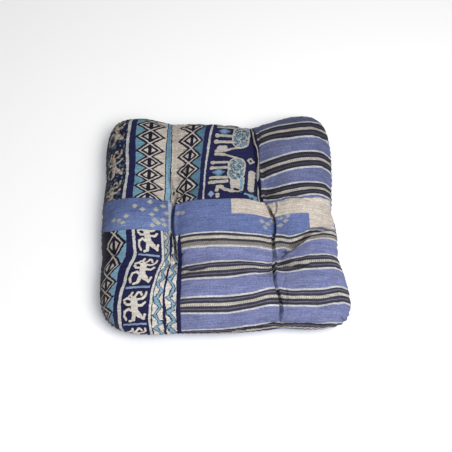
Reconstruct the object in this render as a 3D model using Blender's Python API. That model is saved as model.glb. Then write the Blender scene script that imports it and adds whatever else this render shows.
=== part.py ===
"""A square tufted chair cushion, modelled as the one stuffed solid that its cover closes round.

Two panels of cloth meet in a knife-edge seam all round. Four tuft stitches, two by two, draw the
panels together, and a crease runs from each tuft to its neighbours and out to the seam, so that the
face swells into nine pillows. The cushion lies on its underside. X runs to the right, Y to the back,
Z up, and everything is in metres.
"""

import bpy
import numpy as np

# Driving sizes
SEAM_HEIGHT = 0.030          # the seam round the edge, above the surface that the cushion lies on
FACE_RISE = 0.050            # from the seam up to the crown of the face, between the creases
EDGE_ROLL = 0.075            # how far in from the seam the face is still rising
UNDER_ROLL = 0.060           # the same on the underside, which the weight presses flat
HALF_WIDTH = 0.200           # nominal, from the middle to the seam
CORNER_SQUARENESS = 9.0      # exponent of the superellipse that rounds the corners
SIDE_SWELL = 0.004           # how far each pillow pushes the seam out between two crease ends
FLOOR_CLEARANCE_CUT = 0.005  # shallow parts of the underside's creases that the weight presses flat
CREASE_WIDTH = 0.020         # distance over which the cloth rises again beside a crease
CREASE_ROUNDING = 0.0035     # radius at the bottom of a crease
UNDER_CREASE_SHARE = 0.55    # depth of the underside's creases, as a share of the face's
PILLOW_SPREAD = 0.045        # radius over which one pillow's extra height fades

# How the forms curve
SHOULDER_FULLNESS = 2.2      # exponent that flattens the top of the shoulder
SHOULDER_STEEPNESS = 0.62    # exponent at the seam: 1 would be a slope, 0.5 stands upright
SIDE_SWELL_FADE = 4          # exponent by which the side swell fades towards the middle
CREASE_MEETING = 6           # exponent of the mean that keeps the deepest crease where several meet

# The grid that carries the surface
PILLOWS = 3                  # across and along
STEPS_PER_PILLOW = 15        # grid steps across one pillow
LINE_CROWDING = 0.5          # how far the grid lines crowd towards the creases: 0 is evenly spaced

# Where the seams of the plan cross: the four corners, the crease ends on the seam and the four tufts.
# One row for each line of points from front to back, and in it x and y from left to right.
LATTICE = np.array([
    [(-0.200, -0.202), (-0.078, -0.210), (0.092, -0.207), (0.205, -0.208)],
    [(-0.204, -0.078), (-0.081, -0.096), (0.087, -0.102), (0.188, -0.088)],
    [(-0.203, 0.072), (-0.083, 0.034), (0.074, 0.028), (0.185, -0.008)],
    [(-0.198, 0.207), (-0.086, 0.187), (0.056, 0.175), (0.200, 0.208)],
])

# How much higher or lower than the others each pillow swells, front row first, left to right.
PILLOW_SWELL = np.array([
    (0.000, 0.002, 0.003),
    (-0.002, 0.001, 0.000),
    (0.003, -0.003, 0.008),
])

# Creases, each with its depth at the seam, at both tufts and at the seam again, and its depth in the
# middle of the three stretches between them. The first two run from left to right along a row of
# LATTICE, and the others from front to back along a column of it.
CREASES = (
    {"row": 1, "ends": (0.008, 0.028, 0.026, 0.010), "middles": (0.010, 0.009, 0.015)},
    {"row": 2, "ends": (0.004, 0.024, 0.028, 0.004), "middles": (0.004, 0.010, 0.008)},
    {"column": 1, "ends": (0.004, 0.028, 0.024, 0.006), "middles": (0.010, 0.022, 0.010)},
    {"column": 2, "ends": (0.008, 0.026, 0.028, 0.016), "middles": (0.008, 0.022, 0.026)},
)
# Folds in the cloth that no stitch holds: where each starts and ends, and its depth and width.
FOLDS = (
    {"start": (0.098, -0.088), "end": (0.188, -0.032), "depth": 0.011, "width": 0.016},
    {"start": (-0.062, -0.106), "end": (-0.024, -0.116), "depth": 0.004, "width": 0.012},
)

CLOTH_COLOUR = (0.20, 0.24, 0.52, 1.0)
CLOTH_ROUGHNESS = 0.9


def hump(share):
    """A parabola: 0 at both ends of a stretch and 1 in its middle."""
    return 4.0 * share * (1.0 - share)


def grid_lines():
    """Grid positions from -1 to 1. Within each pillow an even spacing is mixed with a half cosine, so
    that the lines crowd towards the creases and the seam."""
    share = np.linspace(0.0, 1.0, STEPS_PER_PILLOW + 1)
    half_cosine = (1.0 - np.cos(np.pi * share)) / 2
    eased = share + (half_cosine - share) * LINE_CROWDING
    starts = np.arange(PILLOWS)[:, None]
    inner = -1.0 + (starts + eased[:-1]) * 2 / PILLOWS
    return np.append(inner.ravel(), 1.0)


def superellipse_norm(p, q):
    """0 at the centre and 1 on the seam."""
    power = CORNER_SQUARENESS
    return (np.abs(p) ** power + np.abs(q) ** power) ** (1.0 / power)


def rounded(p, q):
    """The square from -1 to 1 drawn in to a superellipse: each point moves towards the centre by the
    ratio of its longer side to its superellipse norm."""
    longest = np.maximum(np.abs(p), np.abs(q))
    norm = superellipse_norm(p, q)
    scale = np.divide(longest, norm, out=np.ones_like(norm), where=norm > 0)
    return p * scale, q * scale


def plan(p, q):
    """Real x and y of plan point p, q: each of the nine pillows is the bilinear blend of its four
    lattice points, and the outer ones swell outwards by a parabola along the seam."""
    column = np.clip(((p + 1) * PILLOWS / 2).astype(int), 0, PILLOWS - 1)
    row = np.clip(((q + 1) * PILLOWS / 2).astype(int), 0, PILLOWS - 1)
    a = (p + 1) * PILLOWS / 2 - column
    b = (q + 1) * PILLOWS / 2 - row
    corner = [LATTICE[row + i, column + j] for i in (0, 1) for j in (0, 1)]
    weight = [(1 - b) * (1 - a), (1 - b) * a, b * (1 - a), b * a]
    xy = sum(w[..., None] * c for w, c in zip(weight, corner))
    swell_x = SIDE_SWELL * hump(b) * np.sign(p) * np.abs(p) ** SIDE_SWELL_FADE
    swell_y = SIDE_SWELL * hump(a) * np.sign(q) * np.abs(q) ** SIDE_SWELL_FADE
    return xy[..., 0] + swell_x, xy[..., 1] + swell_y


def near(x, y, start, end):
    """Share of the way along a line from start to end, and the distance from it, at x, y."""
    run = np.subtract(end, start)
    t = np.clip(((x - start[0]) * run[0] + (y - start[1]) * run[1]) / (run @ run), 0.0, 1.0)
    away = np.hypot(x - start[0] - t * run[0], y - start[1] - t * run[1])
    return t, np.hypot(away, CREASE_ROUNDING) - CREASE_ROUNDING


def crease_segments():
    """Start, end, depth at the start, in the middle and at the end of each stretch of crease."""
    for crease in CREASES:
        points = LATTICE[crease["row"]] if "row" in crease else LATTICE[:, crease["column"]]
        ends = crease["ends"]
        for k, middle in enumerate(crease["middles"]):
            yield points[k], points[k + 1], ends[k], middle, ends[k + 1]


def crease_depth(x, y):
    """How far the creases draw the cloth in at x, y. Beside each stretch the depth falls off
    exponentially with the distance, and where stretches meet the power mean keeps the deepest."""
    total = np.zeros_like(x)
    for start, end, first, middle, last in crease_segments():
        t, away = near(x, y, start, end)
        ends = np.where(t < 0.5, first, last)
        depth = ends + (middle - ends) * hump(t)
        total += (depth * np.exp(-away / CREASE_WIDTH)) ** CREASE_MEETING
    return total ** (1 / CREASE_MEETING)


def fold_depth(x, y):
    """How far the loose folds sink the face: each is a trough that runs out to nothing at its ends."""
    total = np.zeros_like(x)
    for fold in FOLDS:
        t, away = near(x, y, fold["start"], fold["end"])
        total += fold["depth"] * hump(t) * np.exp(-away / fold["width"])
    return total


def swell(x, y):
    """Extra height of each pillow: a bell round its middle."""
    total = np.zeros_like(x)
    for row in range(PILLOWS):
        for column in range(PILLOWS):
            middle = LATTICE[row:row + 2, column:column + 2].mean(axis=(0, 1))
            away = np.hypot(x - middle[0], y - middle[1])
            total += PILLOW_SWELL[row, column] * np.exp(-(away / PILLOW_SPREAD) ** 2)
    return total


def shoulder(p, q, width):
    """Rise from the seam inwards, from 0 to 1 over the width: a rounded shoulder, steep at the seam."""
    inside = np.clip((1.0 - superellipse_norm(p, q)) * HALF_WIDTH / width, 0.0, 1.0)
    return (1.0 - (1.0 - inside) ** SHOULDER_FULLNESS) ** SHOULDER_STEEPNESS


def face_height(p, q, x, y):
    """Height of the face: the seam's, plus the shoulder's rise, less what creases and folds draw in."""
    rise = shoulder(p, q, EDGE_ROLL)
    return SEAM_HEIGHT + rise * (FACE_RISE + swell(x, y) - crease_depth(x, y) - fold_depth(x, y))


def underside_height(p, q, x, y):
    """Height of the underside: it falls from the seam to the floor, and rises into its creases."""
    fall = shoulder(p, q, UNDER_ROLL)
    lifted = np.maximum(UNDER_CREASE_SHARE * crease_depth(x, y) - FLOOR_CLEARANCE_CUT, 0.0)
    return SEAM_HEIGHT * (1.0 - fall) + fall * lifted


def triangles(number):
    """Two triangles for each cell of a grid of point numbers. The side that they share runs away from
    the grid's middle, so that no rounded corner is cut flat."""
    a, b, c, d = number[:-1, :-1], number[:-1, 1:], number[1:, 1:], number[1:, :-1]
    row, column = np.indices(a.shape) - (len(a) - 1) / 2
    outwards = (row * column > 0)[..., None]
    first = np.where(outwards, np.stack([a, b, c], axis=-1), np.stack([a, b, d], axis=-1))
    second = np.where(outwards, np.stack([a, c, d], axis=-1), np.stack([b, c, d], axis=-1))
    return np.concatenate([first, second]).reshape(-1, 3)


def cushion_mesh():
    """Face and underside as two grids on the same plan, which share the ring of points on the seam."""
    lines = grid_lines()
    p, q = rounded(*np.meshgrid(lines, lines))
    x, y = plan(p, q)
    face = np.stack([x, y, face_height(p, q, x, y)], axis=-1)
    underside = np.stack([x, y, underside_height(p, q, x, y)], axis=-1)
    face_number = np.arange(x.size).reshape(x.shape)
    inner = np.zeros(x.shape, bool)
    inner[1:-1, 1:-1] = True
    under_number = face_number.copy()
    under_number[inner] = x.size + np.arange(inner.sum())
    points = np.concatenate([face.reshape(-1, 3), underside[inner]])
    points[:, :2] -= (points[:, :2].min(axis=0) + points[:, :2].max(axis=0)) / 2
    return points, np.concatenate([triangles(face_number), triangles(under_number)[:, ::-1]])


def cloth_material():
    material = bpy.data.materials.new("patchwork_cotton")
    material.use_nodes = True
    shader = material.node_tree.nodes["Principled BSDF"]
    shader.inputs["Base Color"].default_value = CLOTH_COLOUR
    shader.inputs["Roughness"].default_value = CLOTH_ROUGHNESS
    shader.inputs["Metallic"].default_value = 0.0
    return material


def build_cushion():
    points, faces = cushion_mesh()
    mesh = bpy.data.meshes.new("cushion")
    mesh.from_pydata(points.tolist(), [], faces.tolist())
    mesh.shade_smooth()
    mesh.materials.append(cloth_material())
    cushion = bpy.data.objects.new("cushion", mesh)
    bpy.context.scene.collection.objects.link(cushion)


for leftover in list(bpy.data.objects):
    bpy.data.objects.remove(leftover)
build_cushion()
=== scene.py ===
"""A tufted patchwork chair cushion: a stuffed cotton cover, pieced from printed and striped cloths and
drawn in by four stitches, lying on a pale floor in soft light."""

import bpy
import numpy as np
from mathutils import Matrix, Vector


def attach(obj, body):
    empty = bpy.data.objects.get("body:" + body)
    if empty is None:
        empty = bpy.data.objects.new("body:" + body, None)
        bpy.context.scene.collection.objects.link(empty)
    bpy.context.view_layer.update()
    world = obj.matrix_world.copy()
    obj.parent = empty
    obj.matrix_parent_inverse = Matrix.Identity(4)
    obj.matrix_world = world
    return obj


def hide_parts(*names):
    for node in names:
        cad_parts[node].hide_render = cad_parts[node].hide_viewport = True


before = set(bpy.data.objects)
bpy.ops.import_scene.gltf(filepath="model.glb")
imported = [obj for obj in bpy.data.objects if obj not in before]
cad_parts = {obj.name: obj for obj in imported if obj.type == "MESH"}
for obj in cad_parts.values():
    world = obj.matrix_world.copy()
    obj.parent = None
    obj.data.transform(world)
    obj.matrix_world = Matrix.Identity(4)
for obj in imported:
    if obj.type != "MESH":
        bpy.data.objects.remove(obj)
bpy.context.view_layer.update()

# The stuffed form. Two cotton panels are sewn round the edge, turned and stuffed with fibre, and four
# stitches through both draw the face into nine pillows. The sizes are the solid's, but two lattice
# points, one swell, one fold and the crease's rounding are a few millimetres nearer to the real ones.
SEAM_HEIGHT = 0.030
FACE_RISE = 0.050
EDGE_ROLL = 0.075
UNDER_ROLL = 0.060
HALF_WIDTH = 0.200
CORNER_SQUARENESS = 9.0
SIDE_SWELL = 0.004
SIDE_SWELL_FADE = 4
FLOOR_CLEARANCE_CUT = 0.005
CREASE_WIDTH = 0.020
CREASE_ROUNDING = 0.0070
CREASE_MEETING = 6
UNDER_CREASE_SHARE = 0.55
PILLOW_SPREAD = 0.045
SHOULDER_FULLNESS = 2.2
SHOULDER_STEEPNESS = 0.62
PILLOWS = 3
STEPS_PER_PILLOW = 36
LINE_CROWDING = 0.40
LATTICE = np.array([
    [(-0.200, -0.202), (-0.078, -0.210), (0.089, -0.207), (0.205, -0.208)],
    [(-0.204, -0.078), (-0.081, -0.096), (0.085, -0.102), (0.188, -0.088)],
    [(-0.203, 0.072), (-0.083, 0.034), (0.074, 0.028), (0.185, -0.008)],
    [(-0.198, 0.207), (-0.086, 0.187), (0.056, 0.175), (0.200, 0.208)],
])
PILLOW_SWELL = np.array([
    (0.000, 0.002, 0.003),
    (-0.002, 0.001, 0.000),
    (0.003, -0.003, 0.005),
])
CREASES = (
    {"row": 1, "ends": (0.008, 0.028, 0.026, 0.010), "middles": (0.010, 0.009, 0.015)},
    {"row": 2, "ends": (0.004, 0.024, 0.028, 0.004), "middles": (0.004, 0.010, 0.008)},
    {"column": 1, "ends": (0.004, 0.028, 0.024, 0.006), "middles": (0.010, 0.022, 0.010)},
    {"column": 2, "ends": (0.008, 0.026, 0.028, 0.016), "middles": (0.008, 0.022, 0.026)},
)
FOLDS = (
    {"start": (0.098, -0.088), "end": (0.188, -0.032), "depth": 0.016, "width": 0.016},
    {"start": (-0.062, -0.106), "end": (-0.024, -0.116), "depth": 0.004, "width": 0.012},
)


def hump(share):
    """A parabola: 0 at both ends of a stretch and 1 in its middle."""
    return 4.0 * share * (1.0 - share)


def grid_lines(steps):
    """Grid positions from -1 to 1, crowded a little towards the creases and the seam by a half cosine."""
    share = np.linspace(0.0, 1.0, steps + 1)
    half_cosine = (1.0 - np.cos(np.pi * share)) / 2
    eased = share + (half_cosine - share) * LINE_CROWDING
    starts = np.arange(PILLOWS)[:, None]
    inner = -1.0 + (starts + eased[:-1]) * 2 / PILLOWS
    return np.append(inner.ravel(), 1.0)


def superellipse_norm(p, q):
    """0 at the centre and 1 on the seam."""
    power = CORNER_SQUARENESS
    return (np.abs(p) ** power + np.abs(q) ** power) ** (1.0 / power)


def rounded(p, q):
    """The square from -1 to 1 drawn in to a superellipse: each point moves towards the centre by the
    ratio of its longer side to its superellipse norm."""
    longest = np.maximum(np.abs(p), np.abs(q))
    norm = superellipse_norm(p, q)
    scale = np.divide(longest, norm, out=np.ones_like(norm), where=norm > 0)
    return p * scale, q * scale


def plan(p, q):
    """Real x and y of plan point p, q: each of the nine pillows is the bilinear blend of its four
    lattice points, and the outer ones swell outwards by a parabola along the seam."""
    column = np.clip(((p + 1) * PILLOWS / 2).astype(int), 0, PILLOWS - 1)
    row = np.clip(((q + 1) * PILLOWS / 2).astype(int), 0, PILLOWS - 1)
    a = (p + 1) * PILLOWS / 2 - column
    b = (q + 1) * PILLOWS / 2 - row
    corner = [LATTICE[row + i, column + j] for i in (0, 1) for j in (0, 1)]
    weight = [(1 - b) * (1 - a), (1 - b) * a, b * (1 - a), b * a]
    xy = sum(w[..., None] * c for w, c in zip(weight, corner))
    swell_x = SIDE_SWELL * hump(b) * np.sign(p) * np.abs(p) ** SIDE_SWELL_FADE
    swell_y = SIDE_SWELL * hump(a) * np.sign(q) * np.abs(q) ** SIDE_SWELL_FADE
    return xy[..., 0] + swell_x, xy[..., 1] + swell_y


def near(x, y, start, end, rounding=CREASE_ROUNDING):
    """Share of the way along a line from start to end, and the distance from it, at x, y."""
    run = np.subtract(end, start)
    t = np.clip(((x - start[0]) * run[0] + (y - start[1]) * run[1]) / (run @ run), 0.0, 1.0)
    away = np.hypot(x - start[0] - t * run[0], y - start[1] - t * run[1])
    return t, np.hypot(away, rounding) - rounding


def crease_depth(x, y):
    """How far the creases draw the cloth in at x, y. Beside each stretch the depth falls off
    exponentially with the distance, and where stretches meet the power mean keeps the deepest."""
    total = np.zeros_like(x)
    for crease in CREASES:
        points = LATTICE[crease["row"]] if "row" in crease else LATTICE[:, crease["column"]]
        for k, middle in enumerate(crease["middles"]):
            t, away = near(x, y, points[k], points[k + 1])
            ends = np.where(t < 0.5, crease["ends"][k], crease["ends"][k + 1])
            depth = ends + (middle - ends) * hump(t)
            total += (depth * np.exp(-away / CREASE_WIDTH)) ** CREASE_MEETING
    return total ** (1 / CREASE_MEETING)


def fold_depth(x, y):
    """How far the loose folds sink the face: each is a trough that runs out to nothing at its ends."""
    total = np.zeros_like(x)
    for fold in FOLDS:
        t, away = near(x, y, fold["start"], fold["end"])
        total += fold["depth"] * hump(t) * np.exp(-away / fold["width"])
    return total


def swell(x, y):
    """Extra height of each pillow: a bell round its middle."""
    total = np.zeros_like(x)
    for row in range(PILLOWS):
        for column in range(PILLOWS):
            middle = LATTICE[row:row + 2, column:column + 2].mean(axis=(0, 1))
            away = np.hypot(x - middle[0], y - middle[1])
            total += PILLOW_SWELL[row, column] * np.exp(-(away / PILLOW_SPREAD) ** 2)
    return total


def shoulder(p, q, width):
    """Rise from the seam inwards, from 0 to 1 over the width: a rounded shoulder, steep at the seam."""
    inside = np.clip((1.0 - superellipse_norm(p, q)) * HALF_WIDTH / width, 0.0, 1.0)
    return (1.0 - (1.0 - inside) ** SHOULDER_FULLNESS) ** SHOULDER_STEEPNESS


def stuffed_form(steps):
    """Face and underside as two grids of points over the same plan, and the height of the face as it
    would be without creases. The face stands on the seam's height by the shoulder's rise, less what
    creases and folds draw in, and the underside falls to the floor and rises into its creases."""
    lines = grid_lines(steps)
    p, q = rounded(*np.meshgrid(lines, lines))
    x, y = plan(p, q)
    rise = shoulder(p, q, EDGE_ROLL)
    face = SEAM_HEIGHT + rise * (FACE_RISE + swell(x, y) - crease_depth(x, y) - fold_depth(x, y))
    fall = shoulder(p, q, UNDER_ROLL)
    lifted = np.maximum(UNDER_CREASE_SHARE * crease_depth(x, y) - FLOOR_CLEARANCE_CUT, 0.0)
    under = SEAM_HEIGHT * (1.0 - fall) + fall * lifted
    smooth = SEAM_HEIGHT + FACE_RISE * rise
    return np.stack([x, y, face], axis=-1), np.stack([x, y, under], axis=-1), smooth


def finer(grid):
    """A grid of points with a new line between each two. A new point is the mean of its two neighbours
    pushed out by a sixteenth of the way from the next pair, so the surface stays smooth."""
    for axis in (0, 1):
        lines = np.moveaxis(grid, axis, 0)
        padded = np.concatenate([2 * lines[:1] - lines[1:2], lines, 2 * lines[-1:] - lines[-2:-1]])
        halfway = (9 * (padded[1:-2] + padded[2:-1]) - padded[:-3] - padded[3:]) / 16
        woven = np.empty((2 * len(lines) - 1,) + lines.shape[1:])
        woven[0::2] = lines
        woven[1::2] = halfway
        grid = np.moveaxis(woven, 0, axis)
    return grid


def quads(number):
    """One face for each cell of a grid of point numbers."""
    corners = number[:-1, :-1], number[:-1, 1:], number[1:, 1:], number[1:, :-1]
    return np.stack(corners, axis=-1).reshape(-1, 4)


def closed_cover(face, under):
    """Points and faces of the cover: both grids, which share the ring of points on the seam."""
    face_number = np.arange(face.shape[0] * face.shape[1]).reshape(face.shape[:2])
    inner = np.zeros(face.shape[:2], bool)
    inner[1:-1, 1:-1] = True
    under_number = face_number.copy()
    under_number[inner] = face_number.size + np.arange(inner.sum())
    points = np.concatenate([face.reshape(-1, 3), under[inner]])
    return points, np.concatenate([quads(face_number), quads(under_number)[:, ::-1]]), inner


def new_mesh(name, points, faces):
    """A mesh of these points and four-sided faces, smooth all over."""
    mesh = bpy.data.meshes.new(name)
    mesh.vertices.add(len(points))
    mesh.vertices.foreach_set("co", np.ascontiguousarray(points, np.float32).ravel())
    mesh.loops.add(faces.size)
    mesh.loops.foreach_set("vertex_index", faces.ravel().astype(np.int32))
    mesh.polygons.add(len(faces))
    mesh.polygons.foreach_set("loop_start", np.arange(0, faces.size, faces.shape[1], dtype=np.int32))
    mesh.polygons.foreach_set("use_smooth", np.ones(len(faces), bool))
    mesh.update(calc_edges=True)
    mesh.validate()
    return mesh


def new_object(name, data):
    """A new object in the scene, at its origin."""
    thing = bpy.data.objects.new(name, data)
    bpy.context.scene.collection.objects.link(thing)
    return thing


face, under, smooth_height = stuffed_form(STEPS_PER_PILLOW)
centre = (face[..., :2].min(axis=(0, 1)) + face[..., :2].max(axis=(0, 1))) / 2

# The cloth as it was cut. The cushion's cloth runs straight over the middle and down the shoulders,
# so a place on it is measured from the middle line along the surface without its creases, in metres.


def unrolled(across, height):
    """Distance along each grid row from its middle point, over the smooth height, added to that point's
    own place."""
    middle = across.shape[1] // 2
    step = np.hypot(np.diff(across, axis=1), np.diff(height, axis=1))
    travelled = np.concatenate([np.zeros((len(across), 1)), np.cumsum(step, axis=1)], axis=1)
    return travelled - travelled[:, middle:middle + 1] + across[:, middle:middle + 1]


cut_x = finer(unrolled(face[..., 0] - centre[0], smooth_height)[..., None])[..., 0]
cut_y = finer(unrolled((face[..., 1] - centre[1]).T, smooth_height.T).T[..., None])[..., 0]
CM = 0.01
u = cut_x / CM
v = cut_y / CM


def curve_through(place, places, values):
    """A smooth curve through the values: between two places it is a cubic, whose slope at each place is
    the harmonic mean of the slopes of the chords beside it, or level where they turn."""
    places = np.asarray(places, float)
    values = np.asarray(values, float)
    chords = np.diff(values) / np.diff(places)
    same_way = chords[:-1] * chords[1:] > 0
    total = np.where(same_way, chords[:-1] + chords[1:], 1.0)
    inner = np.where(same_way, 2 * chords[:-1] * chords[1:] / total, 0.0)
    slopes = np.concatenate([chords[:1], inner, chords[-1:]])
    k = np.clip(np.searchsorted(places, place) - 1, 0, len(places) - 2)
    width = places[k + 1] - places[k]
    a = np.clip((place - places[k]) / width, 0.0, 1.0)
    first = (1 + 2 * a) * (1 - a) ** 2 * values[k] + a * (1 - a) ** 2 * width * slopes[k]
    second = a * a * (3 - 2 * a) * values[k + 1] + a * a * (a - 1) * width * slopes[k + 1]
    return first + second


def straightened(across, along, table, flat_places):
    """Where points lie on the flat cloth, measured across its printed or woven lines. Each row of the
    table gives a place along the cloth and where the lines lie there, in the order of flat_places,
    which says where they lie on the flat cloth. Between two lines the cloth is evenly stretched, and
    past the last ones it isn't stretched."""
    stations, *lines = zip(*table)
    lines = [curve_through(along, stations, line) for line in lines]
    way = np.sign(lines[-1] - lines[0])
    flat = flat_places[0] + (across - lines[0]) * way
    for k in range(len(lines) - 1):
        share = (across - lines[k]) / (lines[k + 1] - lines[k])
        flat = np.where(share >= 0, flat_places[k] + share * (flat_places[k + 1] - flat_places[k]), flat)
    beyond = (across - lines[-1]) * way
    return np.where(beyond >= 0, flat_places[-1] + beyond, flat)


# The piecing. Five pieces are sewn edge to edge and pressed open: printed cotton at the back left and
# the front left, striped handloom at the back right and the front right, and a band between. The
# tables say where the seams run, in centimetres on the cut cloth.
BAND_TOP = (
    (-23, 3.3), (-20.9, 2.85), (-19.4, 2.4), (-18, 1.95), (-15, 1.65), (-9, 1.75), (-7.8, 1.1), (0, 1.0),
    (7, 1.0), (12, 1.1), (16, 1.4), (20, 2.0), (23, 2.4),
)
BAND_FOOT = (
    (-23, -2.3), (-20.7, -2.95), (-19.2, -3.45), (-17.5, -3.85), (-15, -4.1), (-12, -4.2), (-9, -4.25),
    (-7.5, -4.7), (-3.5, -4.9), (0, -5.0), (4, -5.35), (7.5, -5.25), (9, -4.9), (11, -5.55), (13, -5.2),
    (14.5, -4.4), (19, -3.7), (23, -3.5),
)
BACK_SEAM = ((-1, 7.4), (2, 7.2), (4, 7.0), (7, 6.8), (10, 7.0), (12, 7.0), (15, 6.7), (18, 6.4), (23, 6.2))
FRONT_SEAM = ((-23, -7.0), (-20, -6.95), (-16, -6.85), (-11, -6.75), (-8, -6.7), (-4.75, -6.9), (-3, -7.3))
BAND_MIDDLE = -1.5
band_top = curve_through(u, *zip(*BAND_TOP))
band_foot = curve_through(u, *zip(*BAND_FOOT))
back_seam = curve_through(v, *zip(*BACK_SEAM))
front_seam = curve_through(v, *zip(*FRONT_SEAM))
right_of_seam = np.where(v > BAND_MIDDLE, u - back_seam, u - front_seam)


class Wire:
    """One output of a shader node. Arithmetic on wires and numbers adds Math nodes. Colours and vectors
    go through Mix and Vector Math nodes."""

    def __init__(self, socket):
        self.socket = socket

    @classmethod
    def of(cls, tree, kind, settings, inputs, output=0):
        """A new node of this kind: its settings are made first, then its inputs, and one output is kept."""
        node = tree.nodes.new("ShaderNode" + kind)
        for name, value in settings.items():
            if name == "stops":
                while len(node.color_ramp.elements) < len(value):
                    node.color_ramp.elements.new(1.0)
                for element, (position, colour) in zip(node.color_ramp.elements, value):
                    element.position = position
                    element.color = colour
            else:
                setattr(node, name, value)
        for place, value in inputs.items():
            if isinstance(value, Wire):
                tree.links.new(value.socket, node.inputs[place])
            else:
                node.inputs[place].default_value = value
        return cls(node.outputs[output]) if node.outputs else None

    def beside(self, output):
        """Another output of the same node."""
        return Wire(self.socket.node.outputs[output])

    def math(self, operation, first, second=0.0, third=0.0, clamp=False):
        """A Math node of wires and numbers."""
        settings = {"operation": operation, "use_clamp": clamp}
        return Wire.of(self.socket.id_data, "Math", settings, {0: first, 1: second, 2: third})

    def vector_math(self, operation, *others, output=0):
        """This wire and others in one Vector Math node, whose output 1 is a number."""
        inputs = dict(enumerate((self,) + others))
        return Wire.of(self.socket.id_data, "VectorMath", {"operation": operation}, inputs, output)

    def __add__(self, other):
        return self.math("ADD", self, other)

    def __sub__(self, other):
        return self.math("SUBTRACT", self, other)

    def __rsub__(self, other):
        return self.math("SUBTRACT", other, self)

    def __mul__(self, other):
        return self.math("MULTIPLY", self, other)

    def __truediv__(self, other):
        return self.math("DIVIDE", self, other)

    def __mod__(self, other):
        return self.math("FLOORED_MODULO", self, other)

    def __abs__(self):
        return self.math("ABSOLUTE", self)

    __radd__ = __add__
    __rmul__ = __mul__


PRINT_EDGE = 0.03  # how soft the edges of colours are, in centimetres on the cloth


def lower(a, b):
    return a.math("MINIMUM", a, b)


def higher(a, b):
    return a.math("MAXIMUM", a, b)


def within(distance, edge=PRINT_EDGE):
    """1 where a signed distance is negative and 0 where it is positive, with a soft edge."""
    return distance.math("MULTIPLY_ADD", distance, -1.0 / edge, 0.5, clamp=True)


def between(place, start, end, edge=PRINT_EDGE):
    """1 where place lies between start and end."""
    return within(abs(place - (start + end) * 0.5) - (end - start) * 0.5, edge)


def over(mask, ground, paint):
    """Paint laid over a ground where the mask is 1. Sockets 6 and 7 are a Mix node's two colours."""
    inputs = {"Factor": mask, 6: ground, 7: paint}
    return Wire.of(mask.socket.id_data, "Mix", {"data_type": "RGBA"}, inputs, output=2)


def layered(ground, *layers):
    """Paints laid over a ground one after the other. Each layer gives the signed distance from its
    shape, how soft its edge is, and its paint."""
    for distance, edge, paint in layers:
        ground = over(within(distance, edge), ground, paint)
    return ground


def dye(red, green, blue):
    """An opaque colour."""
    return (red, green, blue, 1.0)


def new_material(name):
    """A material whose node tree is empty, and that tree."""
    material = bpy.data.materials.new(name)
    material.use_nodes = True
    material.node_tree.nodes.clear()
    return material, material.node_tree


def real_place(tree):
    """Object coordinates, in metres."""
    return Wire.of(tree, "TexCoord", {}, {}, output=3)


def noise(place, scale, detail=2.0):
    """Even noise around one half."""
    return Wire.of(place.socket.id_data, "TexNoise", {}, {"Vector": place, "Scale": scale, "Detail": detail})


cotton, loom = new_material("patchwork_cotton")
object_place = real_place(loom)
cloth_maps = {}


def keep_places(name, *places):
    """Up to three places for each point of the cloth, which the mesh will keep under this name."""
    cloth_maps[name] = np.stack(places + (np.zeros_like(u),) * (3 - len(places)), axis=-1)


def three_parts(vector):
    """The x, y and z of a vector."""
    first = Wire.of(loom, "SeparateXYZ", {}, {0: vector})
    return first, first.beside(1), first.beside(2)


def cloth_place(name):
    """The places that the mesh keeps under this name, in centimetres on the cloth."""
    return three_parts(Wire.of(loom, "Attribute", {"attribute_name": name}, {}, output=1))


def point(x, y):
    """A place on the cloth as one vector."""
    return Wire.of(loom, "CombineXYZ", {}, {0: x, 1: y})


keep_places("seams", v - band_top, v - band_foot, right_of_seam)
above_top, above_foot, right_of = cloth_place("seams")
at_back = within(-1.0 * above_top)
at_front = within(above_foot)
at_left = within(right_of)

# The band, a strip of handloomed periwinkle cotton in two lengths. The left one ends in a pale selvage
# and has little diamonds worked into it. The right one has a plain cream block woven in by hand, and a
# few more diamonds. Places are in centimetres on the cut cloth.
BAND_BLUE = dye(0.112, 0.146, 0.302)
BAND_BLUE_DARK = dye(0.088, 0.120, 0.250)
BAND_BLUE_PALE = dye(0.130, 0.174, 0.345)
BAND_SELVAGE = dye(0.300, 0.330, 0.400)
BLOCK_CREAM = dye(0.485, 0.432, 0.380)
OLIVE = dye(0.360, 0.355, 0.230)
STONE = dye(0.350, 0.350, 0.340)
BLOCK_LEFT = 1.65
BLOCK_RIGHT = 20.3
BLOCK_FOOT = -2.0
BLOCK_STEP = 14.4
BAND_JOIN = -8.45
MARK_HALF = (0.50, 0.42)
LEFT_MARKS = (
    (-14.3, 0.1), (-13.0, -0.5), (-11.8, 0.9), (-10.8, -0.4), (-9.7, 0.4), (-9.2, -0.8), (-11.5, -1.4),
    (-11.0, -2.4), (-9.7, -2.2), (-10.5, -2.9), (-11.4, -3.4), (-9.5, -3.1), (-18.1, -1.8), (-16.3, -2.7),
    (-15.7, -1.6), (-17.0, -2.2),
)
RIGHT_MARKS = (
    (6.6, -3.0), (7.6, -3.2), (7.1, -4.0), (8.3, -2.6), (9.8, -2.5), (10.5, -3.1), (9.7, -3.7), (10.9, -2.3),
    (-7.1, -0.7), (-6.4, -0.9),
)
# Where the band's left length turns from dark at the back to pale at the front, partly its own tone and
# partly painted shade, and how far that edge wanders.
PAINTED_SHADE_AND_TONE_CHANGE = -1.6
PAINTED_SHADE_AND_TONE_WANDER = 3.0
SELVAGE_WIDTH = 0.45
MARK_STRENGTH = 0.8
keep_places("band", u, v)
band_x, band_y = cloth_place("band")[:2]
band_point = point(band_x, band_y)


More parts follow.
